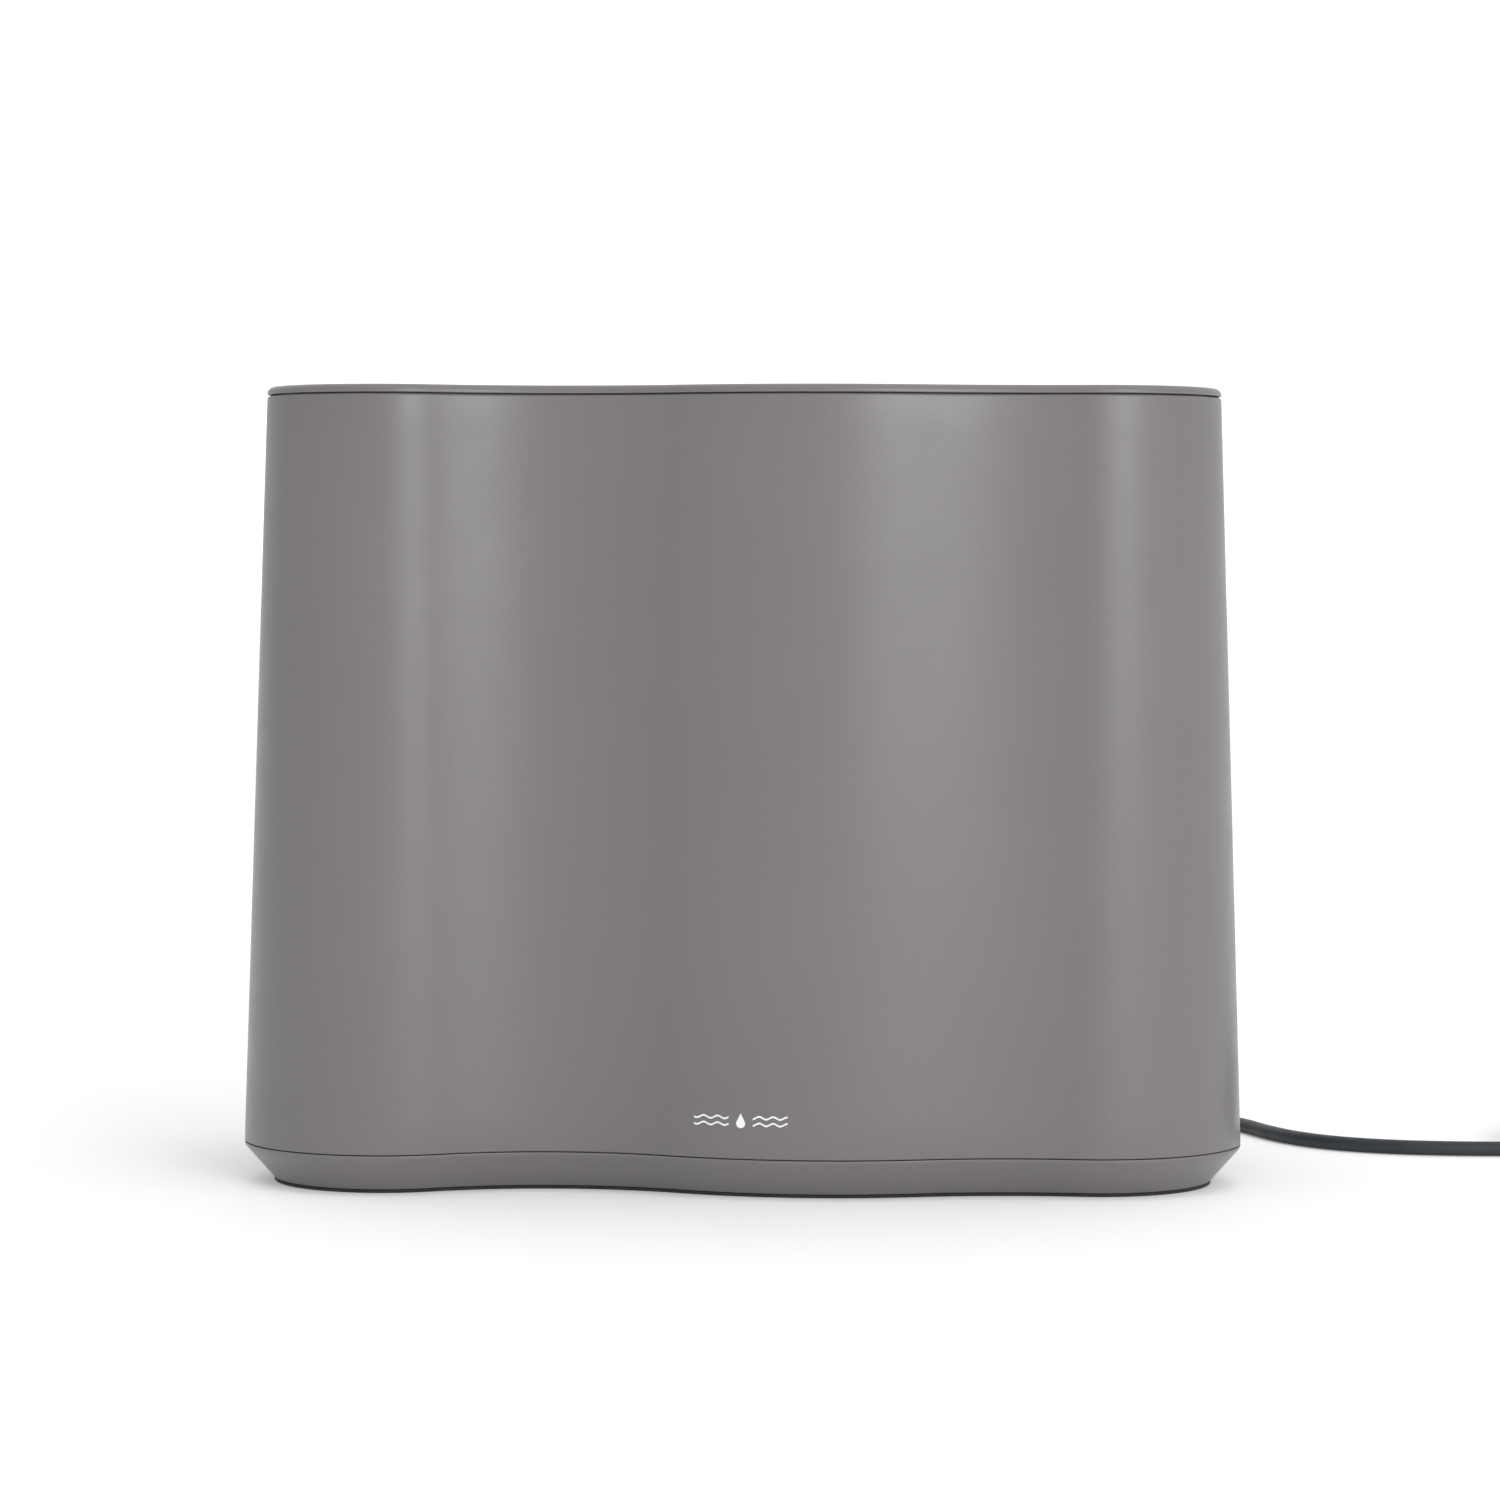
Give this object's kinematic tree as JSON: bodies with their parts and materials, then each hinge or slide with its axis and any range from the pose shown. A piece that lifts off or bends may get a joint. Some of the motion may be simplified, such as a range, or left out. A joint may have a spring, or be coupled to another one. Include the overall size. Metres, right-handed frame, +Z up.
{
  "type": "tabletop ultrasonic humidifier",
  "caption": "Lobed tabletop cool-mist humidifier: drafted grey shell on a chamfered base, lift-off lid, lift-out water tank, rear buttons and a coiled low-voltage lead with wall adapter.",
  "frame": {"origin": "middle of the appliance's footprint, on the surface it stands on, without its lead", "axes": "+X to the user's right along the long side, +Y to the back, +Z up"},
  "size_m": [0.5544, 0.2917, 0.27],
  "materials": {
    "case": "satin moulded",
    "inner_plastic": "satin moulded",
    "tank_plastic": "translucent smoke",
    "dark_rubber": "matt",
    "dark_plastic": "satin",
    "lead_jacket": "satin flexible jacket",
    "steel": "plain",
    "aluminium": "extruded",
    "copper": "enamelled wire",
    "board": "glass laminate"
  },
  "bodies": {
    "cabinet": {"outer_shell": "case", "base_shell": "case", "foot_ring": "dark_rubber", "basin_tray": "inner_plastic", "transducer_disc": "steel", "transducer_seal": "dark_rubber", "transducer_clamp": "steel", "clamp_screw_1": "steel", "clamp_screw_2": "steel", "float_retainer": "steel", "fan_frame": "dark_plastic", "fan_motor": "steel", "air_duct": "inner_plastic", "driver_board": "board", "heat_sink": "aluminium", "filter_capacitor": "dark_plastic", "choke_coil": "copper", "supply_wire": "dark_plastic", "transducer_wire": "dark_plastic", "control_bezel": "dark_plastic", "power_switch": "dark_plastic", "mist_switch": "dark_plastic", "control_board": "board", "light_pipe": "tank_plastic", "dc_jack": "dark_plastic", "plug_barrel": "steel", "dc_plug": "lead_jacket", "cord_run": "lead_jacket", "cord_tail": "lead_jacket", "cord_coil": "lead_jacket", "coil_tie": "dark_rubber", "wall_adapter": "dark_plastic", "adapter_blade_left": "steel", "adapter_blade_right": "steel", "base_screw_1": "steel", "base_screw_2": "steel", "base_screw_3": "steel", "base_screw_4": "steel", "base_screw_5": "steel", "base_screw_6": "steel", "base_screw_7": "steel"},
    "tank": {"water_tank": "tank_plastic", "mist_chimney": "tank_plastic", "handle_pin_front": "steel", "handle_pin_rear": "steel", "valve_cap": "inner_plastic", "valve_washer": "dark_rubber", "valve_spring": "steel"},
    "handle": {"tank_handle": "inner_plastic"},
    "valve": {"valve_plunger": "inner_plastic"},
    "lid": {"lid": "case"},
    "nozzle": {"mist_nozzle": "dark_plastic"},
    "float": {"float_ring": "inner_plastic"},
    "fan": {"fan_impeller": "dark_plastic"},
    "power_key": {"power_button": "case"},
    "mist_key": {"mist_button": "case"}
  },
  "joints": [
    {"name": "tank_lift", "type": "slide", "parent": "cabinet", "child": "tank", "axis": [0, 0, 1], "range_m": [0, 0.21]},
    {"name": "lid_lift", "type": "slide", "parent": "tank", "child": "lid", "axis": [0, 0, 1], "range_m": [0, 0.12]},
    {"name": "nozzle_turn", "type": "hinge", "parent": "lid", "child": "nozzle", "pos_m": [0.098, 0.002, 0.264], "axis": [0, 0, 1], "continuous": true},
    {"name": "handle_swing", "type": "hinge", "parent": "tank", "child": "handle", "pos_m": [0, 0.002, 0.198], "axis": [0, 1, 0], "range_deg": [0, 90]},
    {"name": "valve_press", "type": "slide", "parent": "tank", "child": "valve", "axis": [0, 0, 1], "range_m": [0, 0.004], "stiffness_N_per_m": 120, "springref_m": -0.008, "deforming": ["valve_spring"]},
    {"name": "float_rise", "type": "slide", "parent": "cabinet", "child": "float", "axis": [0, 0, 1], "range_m": [0, 0.0125]},
    {"name": "fan_spin", "type": "hinge", "parent": "cabinet", "child": "fan", "pos_m": [0.12, 0.002, 0.0152], "axis": [0, 0, 1], "continuous": true},
    {"name": "power_press", "type": "slide", "parent": "cabinet", "child": "power_key", "axis": [0, -1, 0], "range_m": [0, 0.001], "stiffness_N_per_m": 900, "springref_m": -0.001},
    {"name": "mist_press", "type": "slide", "parent": "cabinet", "child": "mist_key", "axis": [0, -1, 0], "range_m": [0, 0.001], "stiffness_N_per_m": 900, "springref_m": -0.001}
  ]
}
